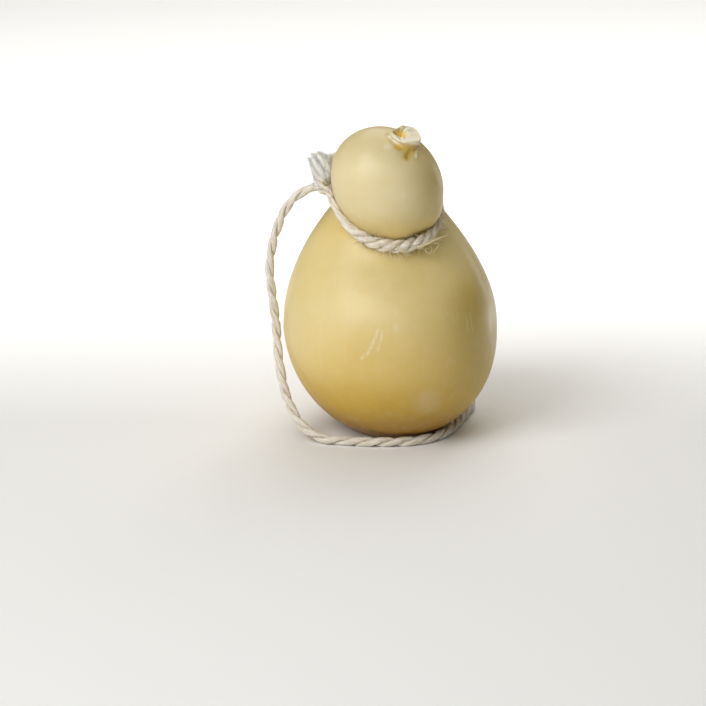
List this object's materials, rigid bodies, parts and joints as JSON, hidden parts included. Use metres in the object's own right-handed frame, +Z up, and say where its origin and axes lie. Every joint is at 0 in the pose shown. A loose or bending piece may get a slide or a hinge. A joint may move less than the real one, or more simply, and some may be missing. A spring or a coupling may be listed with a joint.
{
  "type": "caciocavallo",
  "caption": "Whole caciocavallo: a pear-shaped stretched-curd cheese with a small round head, tied at the neck with twisted cord that hangs round it in a long loop.",
  "frame": {"origin": "on the floor, under the middle of the belly", "axes": "+Z up from the foot to the head, +Y away from someone facing the cheese, so its head leans towards -Y, and +X to their right, so its knot is at -X"},
  "size_m": [0.1221, 0.1237, 0.1695],
  "materials": {
    "rind": "smooth waxy satin rind",
    "twine": "dull, twisted natural fibre"
  },
  "bodies": {
    "root": {"cheese": "rind", "neck_cord": "twine", "knot": "twine", "knot_tail": "twine", "hanging_loop": "twine"}
  },
  "joints": []
}
